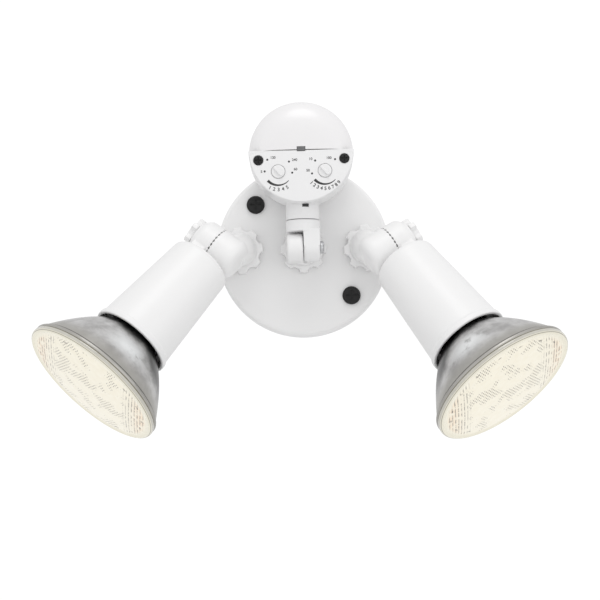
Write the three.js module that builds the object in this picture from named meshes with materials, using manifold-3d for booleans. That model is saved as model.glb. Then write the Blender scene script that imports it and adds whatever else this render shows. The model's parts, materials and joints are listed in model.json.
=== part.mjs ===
// Twin-lamp security floodlight with a motion sensor, for a wall junction box.
// Millimetres. Origin: centre of the wall face. +X right, +Z up, -Y out of the wall.

import * as THREE from 'three';
import { mergeVertices } from 'three/addons/utils/BufferGeometryUtils.js';
import Module from 'manifold-3d';

const wasm = await Module();
wasm.setup();

// ---- driving dimensions ----
const GAP = 0.3; // clearance between pieces that touch

const CANOPY_R = 72.5;
const CANOPY_DEPTH = 20;
const CANOPY_WALL = 2.6;
const GASKET_T = 1.6;
const NIPPLE_SPACING = 53;
const NIPPLE_R = 10.2; // half-inch pipe thread
const NIPPLE_END = -9;
const WIRE_BORE_R = 6.5;
const COVER_SCREW_REACH = 55.5;

const NUT_T = 9.2;
const NUT_TIP_R = 19.3;
const NUT_VALLEY_R = 16.4;
const COLLAR_R = 14;
const COLLAR_Y = -CANOPY_DEPTH - NUT_T - 2 * GAP; // front of the locknut

// lamp knuckle: the rosette is the toothed face where elbow and holder meet
const ROSETTE = { out: 14.3, y: -57.6, down: 12.4, lean: 9 }; // lean: degrees towards the wall
const BARREL_R = 17.2;
const BARREL_END = -23.5; // rounded end of the barrel, from the rosette
const TEETH = 20;
const TOOTH_H = 1.1;
const BOLT_R = 3;
const KNOB_X = 18.4;

// lampholder and PAR38 lamp, measured along the lamp axis from the rosette centre
const HOLDER = { back: 17.8, backR: 25.9, lip: 110.2, lipR: 33.2, wall: 2.6 };
const LAMP = { tip: 33.5, baseEnd: 62.5, neckEnd: 100.5, rim: 154.5, rimR: 60.3, crown: 161 };
const SCREW_BASE_R = 13.1; // E26

const LAMPS = [
  { name: 'left', side: -1, swing: 37, tilt: 21.6 },
  { name: 'right', side: 1, swing: 29.8, tilt: 25 },
];

// sensor head: a puck on its edge, split at the seam into lens above and housing below
const NECK_Y = -47;
const HINGE_Z = -1.5;
const CHEEK_R = 11.5;
const CHEEK_X = 13.5;
const SWIVEL_Z = 21;
const HEAD = { y: -48.5, z: 76, r: 43, half: 21.5, wall: 2 };
const PLATE_Y = HEAD.y - HEAD.half; // front face of the housing
const DIAL = { x: 19, z: 58.4, r: 5.4 };
const HEAD_SCREW = { x: 35, z: 68, r: 4 };

const RAD = Math.PI / 180;

// ---- materials ----
const finish = (color, roughness, metalness = 0) => () =>
  new THREE.MeshStandardMaterial({ color, roughness, metalness });
const whitePaint = finish(0xf2f2f3, 0.45);
const whitePlastic = finish(0xeeeef0, 0.4);
const blackPlastic = finish(0x141414, 0.6);
const greyPlastic = finish(0x77777c, 0.5);
const foam = finish(0x3a3a3c, 0.95);
const steel = finish(0xb9bcc0, 0.35, 1);
const greenSteel = finish(0x3f7f4a, 0.5, 0.5);
const rubber = finish(0xd8d8d6, 0.9);
const porcelain = finish(0xf0ece2, 0.3);
const brass = finish(0xc9a24c, 0.35, 1);
const mirror = finish(0xc9c9cb, 0.3, 1);
const glass = finish(0xffe9b4, 0.15);
const board = finish(0x1f6b3c, 0.6);

// ---- solids ----
function outward(geometry) {
  const p = geometry.attributes.position;
  const index = geometry.index.array;
  const [a, b, c] = [new THREE.Vector3(), new THREE.Vector3(), new THREE.Vector3()];
  let volume = 0;
  for (let i = 0; i < index.length; i += 3) {
    a.fromBufferAttribute(p, index[i]);
    b.fromBufferAttribute(p, index[i + 1]);
    c.fromBufferAttribute(p, index[i + 2]);
    volume += a.dot(b.cross(c));
  }
  if (volume < 0) {
    for (let i = 0; i < index.length; i += 3) {
      [index[i], index[i + 1]] = [index[i + 1], index[i]];
    }
  }
  return geometry;
}

function solid(geometry) {
  const bare = geometry.clone();
  bare.deleteAttribute('normal');
  bare.deleteAttribute('uv');
  const merged = outward(mergeVertices(bare, 1e-3));
  return new wasm.Manifold(new wasm.Mesh({
    numProp: 3,
    vertProperties: new Float32Array(merged.attributes.position.array),
    triVerts: new Uint32Array(merged.index.array),
  }));
}

function shape(manifold) {
  const mesh = manifold.getMesh();
  const geometry = new THREE.BufferGeometry();
  geometry.setAttribute('position', new THREE.BufferAttribute(mesh.vertProperties, 3));
  geometry.setIndex(new THREE.BufferAttribute(mesh.triVerts, 1));
  geometry.computeVertexNormals();
  return geometry;
}

const join = (...parts) => parts.reduce((whole, part) => whole.add(part));
const cut = (whole, ...tools) => tools.reduce((rest, tool) => rest.subtract(tool), whole);

// a solid of revolution about Y; profile points are [radius, y]
function turned(profile, segments = 20) {
  const points = profile.map(([r, y]) => new THREE.Vector2(r, y));
  return new THREE.LatheGeometry(points, segments);
}

// the same, turned so that the profile's height runs along +X, or down the lamp axis (-Z)
const turnedX = (profile, segments) => turned(profile, segments).rotateZ(-Math.PI / 2);
const turnedDown = (profile, segments) => turned(profile, segments).rotateX(-Math.PI / 2);

const disc = (r, from, to) => [[0, from], [r, from], [r, to], [0, to]];
const ring = (inner, outer, from, to) =>
  [[inner, from], [outer, from], [outer, to], [inner, to], [inner, from]];

const rodY = (r, from, to, x = 0, z = 0, segments = 16) =>
  solid(turned(disc(r, from, to), segments).translate(x, 0, z));
const rodX = (r, from, to, y = 0, z = 0, segments = 16) =>
  solid(turnedX(disc(r, from, to), segments).translate(0, y, z));
const rodZ = (r, from, to, x = 0, y = 0, segments = 16) =>
  solid(turned(disc(r, from, to), segments).rotateX(Math.PI / 2).translate(x, y, 0));
const block = ([x0, x1], [y0, y1], [z0, z1]) =>
  solid(new THREE.BoxGeometry(x1 - x0, y1 - y0, z1 - z0)
    .translate((x0 + x1) / 2, (y0 + y1) / 2, (z0 + z1) / 2));

// both signs of a range, so that one drawing serves the left and the right lamp
const sided = (side, a, b) => (side > 0 ? [a, b] : [-b, -a]);

// a quarter arc for a profile, from angle a to b (degrees) about [r, y]
function arc(r, y, radius, a, b, steps = 3) {
  return Array.from({ length: steps + 1 }, (_, i) => {
    const angle = (a + ((b - a) * i) / steps) * RAD;
    return [r + radius * Math.cos(angle), y + radius * Math.sin(angle)];
  });
}

// a plate with lobes round its edge: narrow tips with hollow scallops between them
function lobed(lobes, tipR, valleyR, thickness, steps = 6) {
  const outline = new THREE.Shape();
  const count = lobes * steps;
  for (let i = 0; i < count; i += 1) {
    const angle = (i / count) * 2 * Math.PI;
    const lift = Math.abs(Math.cos((lobes * angle) / 2)) ** 3;
    const r = valleyR + (tipR - valleyR) * lift;
    const method = i === 0 ? 'moveTo' : 'lineTo';
    outline[method](r * Math.cos(angle), r * Math.sin(angle));
  }
  outline.closePath();
  return new THREE.ExtrudeGeometry(outline, { depth: thickness, bevelEnabled: false });
}

// a disc about X whose face at `face` carries radial teeth that stand `height` proud
function toothed(outerR, innerR, body, face, height) {
  const geometry = turnedX([[0, body], [outerR, body], [outerR, face], [innerR, face], [0, face]],
    TEETH * 2);
  const merged = mergeVertices(geometry.deleteAttribute('normal').deleteAttribute('uv'), 1e-3);
  const p = merged.attributes.position;
  for (let i = 0; i < p.count; i += 1) {
    const radius = Math.hypot(p.getY(i), p.getZ(i));
    const step = Math.round((Math.atan2(p.getY(i), p.getZ(i)) / Math.PI) * TEETH);
    if (Math.abs(p.getX(i) - face) < 1e-3 && radius > innerR - 0.01 && step % 2 === 0) {
      p.setX(i, face + height);
    }
  }
  return solid(merged);
}

// ---- scene ----
const group = new THREE.Group();

function place(name, geometry, material, parent = group) {
  const mesh = new THREE.Mesh(geometry, material());
  mesh.name = name;
  parent.add(mesh);
}

// ---- wall canopy and its fixings ----
function canopy() {
  const inner = CANOPY_R - CANOPY_WALL;
  const face = -CANOPY_DEPTH;
  const shell = solid(turned([
    [0, face],
    ...arc(CANOPY_R - 4, face + 4, 4, -90, 0),
    [CANOPY_R, -GASKET_T - GAP],
    [inner, -GASKET_T - GAP],
    [inner, face + CANOPY_WALL + 2],
    [inner - 2, face + CANOPY_WALL],
    [0, face + CANOPY_WALL],
  ], 40));
  const nipples = [-NIPPLE_SPACING, 0, NIPPLE_SPACING];
  const hubs = nipples.map((x) => rodY(COLLAR_R, face + 1, face + 9, x));
  const bores = nipples.map((x) => rodY(NIPPLE_R + GAP, face - 1, 0, x));
  const screwHoles = [-1, 1].map((s) => {
    const reach = s * COVER_SCREW_REACH * Math.SQRT1_2;
    return rodY(3, face - 1, 0, reach, -reach);
  });
  place('canopy', shape(cut(join(shell, ...hubs), ...bores, ...screwHoles)), whitePaint);
}

function wallFixings() {
  place('wall_gasket', turned(ring(CANOPY_R - 7, CANOPY_R - 0.8, -GASKET_T, 0), 32), foam);

  const thickness = 1.9;
  const tilt = Math.PI / 4; // the bar runs from upper left to lower right
  const end = COVER_SCREW_REACH;
  const holes = [-1, 1].map((s) => rodY(2.7, -3, 1, s * end));
  const slots = [-1, 1].map((s) => block([s * 37 - 6, s * 37 + 6], [-3, 1], [-2.4, 2.4]));
  const strap = join(block([-end, end], [-thickness, 0], [-8, 8]),
    rodY(8, -thickness, 0, -end), rodY(8, -thickness, 0, end));
  const groundHole = rodY(2.2, -3, 1, 20);
  place('crossbar', shape(cut(strap, ...holes, ...slots, groundHole)).rotateY(tilt), steel);

  const groundScrew = join(rodY(1.9, -6, 0, 20), rodY(4.2, -6.5, -thickness - GAP - 1, 20, 0, 6));
  place('ground_screw', shape(groundScrew).rotateY(tilt), greenSteel);

  [['upper', -1], ['lower', 1]].forEach(([name, s]) => {
    const head = solid(turned([
      [0, -24], [4.5, -23.9], [6.6, -23], [7.6, -21.2], [7.6, -CANOPY_DEPTH - GAP],
      [0, -CANOPY_DEPTH - GAP],
    ], 20));
    const cross = join(block([-4.4, 4.4], [-25, -22.8], [-0.8, 0.8]),
      block([-0.8, 0.8], [-25, -22.8], [-4.4, 4.4]));
    const screw = join(cut(head, cross), rodY(2.3, -CANOPY_DEPTH - 0.5, -0.4));
    place(`cover_screw_${name}`, shape(screw).translate(s * end, 0, 0).rotateY(tilt), blackPlastic);
  });
}

// scalloped locknut on a nipple, against the canopy
function locknut(name, parent) {
  const nut = solid(lobed(8, NUT_TIP_R, NUT_VALLEY_R, NUT_T).rotateX(Math.PI / 2)
    .translate(0, -CANOPY_DEPTH - GAP, 0));
  place(name, shape(cut(nut, rodY(NIPPLE_R + GAP, -CANOPY_DEPTH - NUT_T - 1, -CANOPY_DEPTH + 1))),
    whitePaint, parent);
}

const nipple = () => join(rodY(NIPPLE_R, COLLAR_Y - 1, NIPPLE_END),
  rodY(COLLAR_R, COLLAR_Y - 4, COLLAR_Y));

// ---- lamp arm, drawn for the right side and mirrored by `side` ----
function lampElbow(lamp, parent) {
  const { side } = lamp;
  const face = -GAP - TOOTH_H;
  const leaned = (piece) => piece.rotate([0, 0, side * ROSETTE.lean])
    .translate([side * ROSETTE.out, ROSETTE.y, -ROSETTE.down]);
  const barrel = solid(turnedX([
    [0, BARREL_END], ...arc(BARREL_R - 9, BARREL_END + 9, 9, -90, 0).slice(1),
    [BARREL_R, face - 1.6], [0, face - 1.6],
  ], 24));
  const mirrored = leaned(side > 0 ? barrel : barrel.mirror([1, 0, 0]));
  const teeth = leaned(toothed(BARREL_R - 0.5, 10, side * (face - 2.6), side * face, side * TOOTH_H));

  // the neck leans from the collar into the barrel, and stops short of the rosette
  const from = new THREE.Vector3(0, COLLAR_Y - 3, 0);
  const to = new THREE.Vector3(side * 3, ROSETTE.y + 5, -ROSETTE.down + 2);
  const axis = to.clone().sub(from);
  const neck = turned(disc(COLLAR_R - 0.8, 0, axis.length()), 18);
  neck.applyQuaternion(new THREE.Quaternion()
    .setFromUnitVectors(new THREE.Vector3(0, 1, 0), axis.clone().normalize()));
  neck.translate(from.x, from.y, from.z);
  const bend = new THREE.SphereGeometry(COLLAR_R - 0.2, 16, 8).translate(from.x, from.y, from.z);
  const inside = leaned(block(sided(side, -90, face), [-90, 90], [-90, 90]));
  const stem = join(solid(bend), solid(neck)).intersect(inside)
    .intersect(block([-60, 60], [-100, COLLAR_Y], [-60, 60]));

  const boltHole = leaned(rodX(BOLT_R + GAP, ...sided(side, -17, 2), 0, 0, 20));
  const wireBore = rodY(WIRE_BORE_R, ROSETTE.y + 22, 0);
  const body = cut(join(nipple(), stem, mirrored, teeth), boltHole, wireBore);
  place(`elbow_${lamp.name}`, shape(body), whitePaint, parent);
}

function lampholder(lamp, parent) {
  const { side } = lamp;
  const { back, backR, lip, lipR, wall } = HOLDER;
  const cup = solid(turnedDown([
    [0, back], ...arc(backR - 4, back + 4, 4, -90, 0),
    [lipR - 1.2, lip - 5], [lipR, lip - 4.4], [lipR, lip - 0.6], [lipR - 0.6, lip],
    [lipR - wall, lip], [lipR - wall - 1, lip - 6], [backR - wall, back + 8],
    [backR - wall - 3, back + 3.1], [0, back + 3.1],
  ], 26));
  const ear = solid(turnedX([
    [0, 3], [BARREL_R, 3], [BARREL_R, 13.5], [BARREL_R - 1, 14.5],
    [13.2, 16], [13.2, KNOB_X - GAP], [0, KNOB_X - GAP],
  ], 24));
  const mirroredEar = side > 0 ? ear : ear.mirror([1, 0, 0]);
  const teeth = toothed(BARREL_R - 0.5, 10, side * 4, side * (GAP + TOOTH_H), -side * TOOTH_H);
  const web = block(sided(side, 2.4, 14), [-13, 13], [-back - 2, 0]);
  const hole = rodX(BOLT_R + GAP, ...sided(side, -2, 22), 0, 0, 20);
  place(`lampholder_${lamp.name}`, shape(cut(join(cup, mirroredEar, teeth, web), hole)),
    whitePaint, parent);
}

function clampKnob(lamp, parent) {
  const { side } = lamp;
  const from = side > 0 ? KNOB_X : -KNOB_X - 6.4;
  const lobes = solid(lobed(6, 13.4, 10.2, 6.4, 6).rotateY(Math.PI / 2).translate(from, 0, 0));
  const socket = rodX(BOLT_R + GAP, ...sided(side, KNOB_X - 1, KNOB_X + 4.2), 0, 0, 20);
  place(`clamp_knob_${lamp.name}`, shape(cut(lobes, socket)), whitePaint, parent);
  place(`clamp_bolt_${lamp.name}`, shape(rodX(BOLT_R, ...sided(side, -12, KNOB_X + 3.8), 0, 0, 16)),
    steel, parent);
}

function socket(lamp, parent) {
  const { back, lip, lipR, wall } = HOLDER;
  const seat = back + 3.1 + GAP;
  const mouth = LAMP.baseEnd - 8;
  const body = [[0, seat], [18.5, seat], [19.6, seat + 1.5], [19.6, mouth], [15.2, mouth],
    [15.2, seat + 3.4], [0, seat + 3.4]];
  place(`socket_body_${lamp.name}`, turnedDown(body, 18), porcelain, parent);
  const shell = ring(SCREW_BASE_R + 0.5, 14.8, LAMP.tip + 4, mouth - 1);
  place(`screw_shell_${lamp.name}`, turnedDown(shell, 18), brass, parent);
  const contact = [[0, seat + 3.7], [5, seat + 3.7], [5, seat + 4.4], [2.4, LAMP.tip - GAP],
    [0, LAMP.tip - GAP]];
  place(`centre_contact_${lamp.name}`, turnedDown(contact, 10), brass, parent);
  const outer = lipR - wall - 1.9;
  const low = lip - 9.5;
  const seal = [[23.4, low], [outer - 0.4, low], [outer, low + 3], [23.6, low + 1.6], [23.4, low]];
  place(`mouth_seal_${lamp.name}`, turnedDown(seal, 24), rubber, parent);
}

function bulb(lamp, parent) {
  const { tip, baseEnd, neckEnd, rim, rimR, crown } = LAMP;
  const wall = 1.6;
  const focus = neckEnd - 1.5;
  const curve = (s) => Math.sqrt((rimR - 1.8) ** 2 * ((s - focus) / (rim - focus)));
  const steps = [neckEnd + 6, neckEnd + 14, neckEnd + 24, neckEnd + 37, rim - 3];
  const outside = steps.map((s) => [curve(s), s]);
  const inside = steps.slice().reverse().map((s) => [curve(s) - wall - 0.4, s]);
  const reflector = [
    [14, baseEnd + GAP], [16.4, baseEnd + GAP], [19.5, neckEnd], ...outside,
    [rimR, rim - 2.6], [rimR, rim], [rimR - 2.4, rim], ...inside,
    [19.5 - wall, neckEnd + 1], [16.4 - wall, baseEnd + 4], [14, baseEnd + 4],
    [14, baseEnd + GAP],
  ];
  place(`reflector_${lamp.name}`, turnedDown(reflector, 28), mirror, parent);

  const face = rim + GAP;
  const lens = [[0, crown - 3], [30, crown - 4], [rimR - 6, face + 0.2], [rimR - 5, face],
    [rimR, face], [rimR, face + 2.2], [rimR - 1.6, face + 3.4], [rimR * 0.75, crown - 1.8],
    [rimR * 0.4, crown - 0.5], [0, crown]];
  place(`lens_${lamp.name}`, turnedDown(lens, 28), glass, parent);

  const base = [[0, tip], [4, tip + 0.4], [4.6, tip + 1.6], [9.5, tip + 3], [12.4, tip + 5],
    [SCREW_BASE_R, tip + 8], [SCREW_BASE_R, baseEnd - 2], [13.4, baseEnd], [0, baseEnd]];
  place(`lamp_base_${lamp.name}`, turnedDown(base, 18), brass, parent);

  const capsule = [[0, baseEnd + 4.6], [8, baseEnd + 4.6], [8, rim - 58], [4.5, rim - 56],
    [4.5, rim - 47], [6.5, rim - 44], [6.5, rim - 28], [4.5, rim - 24], [0, rim - 22]];
  place(`light_capsule_${lamp.name}`, turnedDown(capsule, 10), glass, parent);
}

function lampArm(lamp) {
  const swing = new THREE.Group();
  swing.position.set(lamp.side * NIPPLE_SPACING, 0, 0);
  swing.rotation.y = -lamp.side * lamp.swing * RAD;
  group.add(swing);
  locknut(`locknut_${lamp.name}`, swing);
  lampElbow(lamp, swing);

  const tilt = new THREE.Group();
  tilt.position.set(lamp.side * ROSETTE.out, ROSETTE.y, -ROSETTE.down);
  tilt.rotation.set(-lamp.tilt * RAD, 0, lamp.side * ROSETTE.lean * RAD, 'ZXY');
  swing.add(tilt);
  lampholder(lamp, tilt);
  clampKnob(lamp, tilt);
  socket(lamp, tilt);
  bulb(lamp, tilt);
}

// ---- sensor stem ----
function sensorStem() {
  locknut('locknut_sensor', group);

  const pinHole = rodX(2.9, -11.8, 20, NECK_Y, HINGE_Z, 20);
  const cheek = join(rodX(CHEEK_R, -CHEEK_X, -GAP / 2, NECK_Y, HINGE_Z),
    block([-CHEEK_X, -GAP / 2], [NECK_Y, COLLAR_Y - 3], [HINGE_Z - CHEEK_R, HINGE_Z + CHEEK_R - 1]));
  const withinCollar = cheek.intersect(rodY(18, -70, 0));
  const wireBore = rodY(WIRE_BORE_R, COLLAR_Y - 2, 0);
  place('sensor_elbow', shape(cut(join(nipple(), withinCollar), pinHole, wireBore)), whitePaint);

  const oval = (halfX, halfY, from, to) => solid(turned(disc(1, from, to), 36)
    .rotateX(Math.PI / 2).scale(halfX, halfY, 1).translate(0, NECK_Y, 0));
  const shoulder = HINGE_Z + CHEEK_R + 1.2;
  const lug = join(rodX(CHEEK_R, GAP / 2, CHEEK_X, NECK_Y, HINGE_Z),
    block([GAP / 2, CHEEK_X], [NECK_Y - CHEEK_R, NECK_Y + CHEEK_R], [HINGE_Z, shoulder + 1]));
  const arm = join(lug, oval(14, 12.4, shoulder, SWIVEL_Z - GAP / 2), rodZ(9, 15, 26.4, 0, NECK_Y));
  place('sensor_arm', shape(cut(arm, pinHole)), whitePlastic);

  const head = cut(rodX(5.2, 13.8, 17.2, NECK_Y, HINGE_Z, 16),
    block([16, 18], [NECK_Y - 6, NECK_Y + 6], [HINGE_Z - 0.7, HINGE_Z + 0.7]));
  place('hinge_screw', shape(join(head, rodX(2.6, -11, 14, NECK_Y, HINGE_Z, 16))), steel);
}

// ---- sensor head ----
const puck = (r, half, power, segments = 30) => {
  const steps = 8;
  const points = Array.from({ length: steps + 1 }, (_, i) => {
    const t = Math.cos((i / steps) * Math.PI);
    return [r * (1 - Math.abs(t) ** 2.4) ** (1 / power), -half * t];
  });
  return solid(turned(points, segments).translate(0, HEAD.y, HEAD.z));
};

const indicatorNotch = () =>
  block([-3.6, 3.6], [PLATE_Y - 2, PLATE_Y + 3.4], [HEAD.z - 1.2, HEAD.z + 2.9]);

function sensorHead() {
  const { y, z, r, half, wall } = HEAD;
  const seam = z + GAP / 2;
  const above = block([-60, 60], [-100, 0], [seam + GAP, 140]);
  const below = block([-60, 60], [-100, 0], [0, seam]);

  const dome = puck(r, half, 3.2).intersect(above);
  place('sensor_lens', shape(cut(dome, puck(r - wall, half - wall, 3.2), indicatorNotch())),
    whitePlastic);

  const back = y + half;
  const body = solid(turned([
    [0, PLATE_Y + 1.8], [r, PLATE_Y + 1.8], [r, back - 11], ...arc(r - 11, back - 11, 11, 0, 90),
    [0, back],
  ], 32).translate(0, 0, z)).intersect(below);
  const hollow = solid(turned([
    [0, PLATE_Y + 4], [r - wall, PLATE_Y + 4], [r - wall, back - 11],
    ...arc(r - 11, back - 11, 9, 0, 90), [0, back - wall],
  ], 32).translate(0, 0, z)).intersect(block([-60, 60], [-100, 0], [40, seam + 1]));
  const collar = rodZ(13.8, SWIVEL_Z + GAP / 2, 44, 0, NECK_Y, 24);
  const swivelBore = rodZ(9.3, SWIVEL_Z - 1, 27, 0, NECK_Y, 20);
  const slot = block([-0.2, 5.2], [-64, NECK_Y - 11.5], [30.6, 33]);
  const shafts = [-1, 1].map((s) => rodY(2.6, -80, PLATE_Y + 5, s * DIAL.x, DIAL.z, 16));
  const bosses = [-1, 1].map((s) => rodY(4, PLATE_Y + 3, PLATE_Y + 12, s * HEAD_SCREW.x,
    HEAD_SCREW.z, 16));
  const screwHoles = [-1, 1].map((s) => rodY(1.8, -80, PLATE_Y + 10, s * HEAD_SCREW.x,
    HEAD_SCREW.z, 12));
  const shell = join(cut(join(body, collar), hollow), ...bosses.map((b) => b.intersect(body)));
  place('sensor_housing', shape(cut(shell, swivelBore, slot, ...shafts, ...screwHoles,
    indicatorNotch())), whitePlastic);

  const plate = cut(rodY(r + 0.4, PLATE_Y, PLATE_Y + 1.5, 0, z, 32).intersect(below),
    ...shafts, ...screwHoles, indicatorNotch());
  place('dial_plate', shape(plate), whitePlastic);

  place('indicator_window', shape(block([-3.3, 3.3], [PLATE_Y - 0.6, PLATE_Y + 3], [z - 0.9, z + 2.6])),
    greyPlastic);

  [['left', -1], ['right', 1]].forEach(([name, s]) => {
    const screw = join(
      cut(rodY(HEAD_SCREW.r, PLATE_Y - 1.5, PLATE_Y - GAP, 0, 0, 16),
        block([-2.6, 2.6], [PLATE_Y - 3, PLATE_Y - 0.8], [-0.5, 0.5]),
        block([-0.5, 0.5], [PLATE_Y - 3, PLATE_Y - 0.8], [-2.6, 2.6])),
      rodY(1.5, PLATE_Y - 0.5, PLATE_Y + 9, 0, 0, 12));
    place(`plate_screw_${name}`, shape(screw.translate([s * HEAD_SCREW.x, 0, HEAD_SCREW.z])),
      blackPlastic);
  });
}

function dials() {
  [['time', -1], ['range', 1]].forEach(([name, s]) => {
    const knob = rodY(DIAL.r, PLATE_Y - 2, PLATE_Y - GAP, 0, 0, 20);
    const pointer = new THREE.BoxGeometry(1.5, 1.1, 9).rotateY(-Math.PI / 4)
      .translate(0, PLATE_Y - 2.3, 0);
    const shaft = rodY(2, PLATE_Y - 1, PLATE_Y + 4.6, 0, 0, 16);
    const dial = join(knob, solid(pointer), shaft).translate([s * DIAL.x, 0, DIAL.z]);
    place(`dial_${name}`, shape(dial), whitePlastic);
    const pot = block([s * DIAL.x - 5, s * DIAL.x + 5], [PLATE_Y + 5, PLATE_Y + 9.6],
      [DIAL.z - 5, DIAL.z + 5]);
    place(`potentiometer_${name}`, shape(pot), greyPlastic);
  });
}

function sensorElectronics() {
  const boardY = PLATE_Y + 10;
  place('main_board', shape(block([-29, 29], [boardY, boardY + 1.6], [51, 69.8])), board);
  place('relay', shape(block([-10, 9], [boardY + 2, boardY + 17], [52, 67])), blackPlastic);
  place('detector_board', shape(block([-14, 14], [boardY + 3, boardY + 23], [70.4, 72])), board);
  place('infrared_detector', shape(join(rodZ(4.6, 72.3, 76.5, 0, HEAD.y, 16),
    rodZ(5.2, 72.3, 73.1, 0, HEAD.y, 16))), steel);
}

canopy();
wallFixings();
LAMPS.forEach(lampArm);
sensorStem();
sensorHead();
dials();
sensorElectronics();

export default group;
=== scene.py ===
"""Looks of a twin-lamp security floodlight with a motion sensor.

Drawings are in millimetres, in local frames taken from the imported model's joints,
and are set into the model's frame in metres.
"""

import json
import math

import bpy
import bmesh
import numpy as np
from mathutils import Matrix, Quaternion, Vector


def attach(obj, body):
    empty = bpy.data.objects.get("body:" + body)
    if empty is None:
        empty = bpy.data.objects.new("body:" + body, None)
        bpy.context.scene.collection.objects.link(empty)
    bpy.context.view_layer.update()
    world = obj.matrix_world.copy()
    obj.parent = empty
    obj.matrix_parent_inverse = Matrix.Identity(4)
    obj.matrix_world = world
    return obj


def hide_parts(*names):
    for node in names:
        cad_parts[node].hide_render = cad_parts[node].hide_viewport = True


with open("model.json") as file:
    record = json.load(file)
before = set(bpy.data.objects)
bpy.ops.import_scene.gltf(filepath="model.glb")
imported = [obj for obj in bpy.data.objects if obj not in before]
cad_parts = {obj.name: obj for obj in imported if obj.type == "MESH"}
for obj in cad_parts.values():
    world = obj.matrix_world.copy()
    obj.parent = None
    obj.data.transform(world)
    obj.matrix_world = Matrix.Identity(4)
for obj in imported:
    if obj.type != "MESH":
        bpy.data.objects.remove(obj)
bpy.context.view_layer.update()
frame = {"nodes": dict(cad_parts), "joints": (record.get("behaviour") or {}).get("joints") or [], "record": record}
JOINTS = {j["name"]: j for j in frame["joints"]}
MM = 0.001
TAU = 2 * math.pi

# ---- driving dimensions, in millimetres ----
CANOPY_R = 72.5
CANOPY_DEPTH = 20.0
CANOPY_WALL = 2.6
NIPPLE_X = 53.0
NIPPLE_R = 10.2
NUT = {"near": 20.3, "far": 29.5, "tip": 19.3, "valley": 16.4}
COLLAR_R = 14.0
COLLAR_W = 29.8
BARREL_R = 17.2
BARREL_END = -23.5
TEETH = 30
TOOTH_H = 0.8
KNOB_U = 18.4
HOLDER_BACK = 17.8
HOLDER_LIP = 110.2
LIP_R = 33.2
LAMP_R = 60.3
LAMP_BASE = 62.8
LAMP_NECK = 100.5
LAMP_RIM = 154.5
LAMP_CROWN = 161.0
NECK_Y = -47.0
HINGE_Z = -1.5
CHEEK_R = 11.5
SWIVEL_Z = 21.0
HEAD_Y = -48.5
HEAD_Z = 76.0
HEAD_R = 43.0
HEAD_HALF = 21.5
PLATE_W = -(HEAD_Y - HEAD_HALF)
DIAL_X, DIAL_Z, DIAL_R = 19.0, 58.4, 5.4
DIAL_TURN = math.radians(-48)
SCREW_X, SCREW_Z, SCREW_R = 35.0, 68.0, 4.0
COVER_SCREW_XZ = 55.5 / math.sqrt(2)
COVER_SCREW_R = 7.6
FACE_GAP = 1.2
TOOTH_BORE = 9.0
EAR_R = 13.6
EAR_END = 18.1
CUP_R = 25.9
KNOB_H = 5.4
ARM_BORE = 9.3
PRINT_H = 0.06
FLOOR_Z = -0.62


# ---- local frames ----
class Place:
    """A local frame: an origin in millimetres and the directions of its u, v and w."""

    def __init__(self, origin, u, v, w):
        self.origin = np.array(origin, float)
        self.axes = np.array([u, v, w], float)

    def __call__(self, points):
        return (self.origin + np.asarray(points, float) @ self.axes) * MM

    def shifted(self, u=0.0, v=0.0, w=0.0):
        return Place(self.origin + np.array([u, v, w]) @ self.axes, *self.axes)

    def turned(self, order):
        """The same origin with its axes in another order, such as "vwu"."""
        rows = ["uvw".index(letter) for letter in order]
        return Place(self.origin, *self.axes[rows])


def lamp_places(side):
    """The swing frame (u outwards, v up, w out of the wall, from the nipple) and the lamp
    frame (u along the knuckle axis, w along the lamp, from the centre of the toothed faces)."""
    out = np.array(JOINTS[f"clamp_turn_{side}"]["axis"])
    nipple = np.array(JOINTS[f"swing_{side}"]["pos_m"]) / MM
    centre = np.array(JOINTS[f"tilt_{side}"]["pos_m"]) / MM
    along = np.array(JOINTS[f"lamp_turn_{side}"]["axis"])
    wall_out = np.array([0.0, -1.0, 0.0])
    level = np.array([out[0], 0.0, out[2]]) / np.hypot(out[0], out[2])
    up = np.array([-level[2] * np.sign(level[0]), 0.0, abs(level[0])])
    swing = Place([nipple[0], 0, nipple[2]], level, up, wall_out)
    lamp = Place(centre, out, np.cross(along, out), along)
    return swing, lamp


LEVEL = Place([0, 0, 0], [1, 0, 0], [0, 1, 0], [0, 0, 1])
WALL = Place([0, 0, 0], [1, 0, 0], [0, 0, 1], [0, -1, 0])
HINGE = Place([0, NECK_Y, HINGE_Z], [0, 1, 0], [0, 0, 1], [1, 0, 0])


# ---- meshes ----
def cleaned(mesh, merge, collapse, sharp, recalculate):
    """The mesh with doubles merged and slivers gone, smooth but for edges sharper than an angle."""
    work = bmesh.new()
    work.from_mesh(mesh)
    bmesh.ops.remove_doubles(work, verts=work.verts, dist=merge)
    bmesh.ops.dissolve_degenerate(work, edges=work.edges, dist=collapse)
    if recalculate:
        bmesh.ops.recalc_face_normals(work, faces=work.faces)
    work.to_mesh(mesh)
    work.free()
    mesh.shade_smooth()
    mesh.set_sharp_from_angle(angle=math.radians(sharp))
    return mesh


def finish_mesh(name, points, faces, sharp=35.0):
    """Points and faces as one object, with its normals out."""
    mesh = bpy.data.meshes.new(name)
    mesh.from_pydata(np.asarray(points).tolist(), [], faces)
    piece = bpy.data.objects.new(name, cleaned(mesh, 2e-6, 1e-6, sharp, True))
    bpy.context.scene.collection.objects.link(piece)
    return piece


def grid_faces(rows, columns, wrap_rows, wrap_columns):
    """Quads of a grid numbered row by row, closed round either way."""
    r = np.arange(rows if wrap_rows else rows - 1)
    c = np.arange(columns if wrap_columns else columns - 1)
    i, j = np.meshgrid(r, c, indexing="ij")
    up, right = (i + 1) % rows, (j + 1) % columns
    quads = np.stack([i * columns + j, i * columns + right, up * columns + right, up * columns + j])
    return quads.reshape(4, -1).T.tolist()


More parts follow.
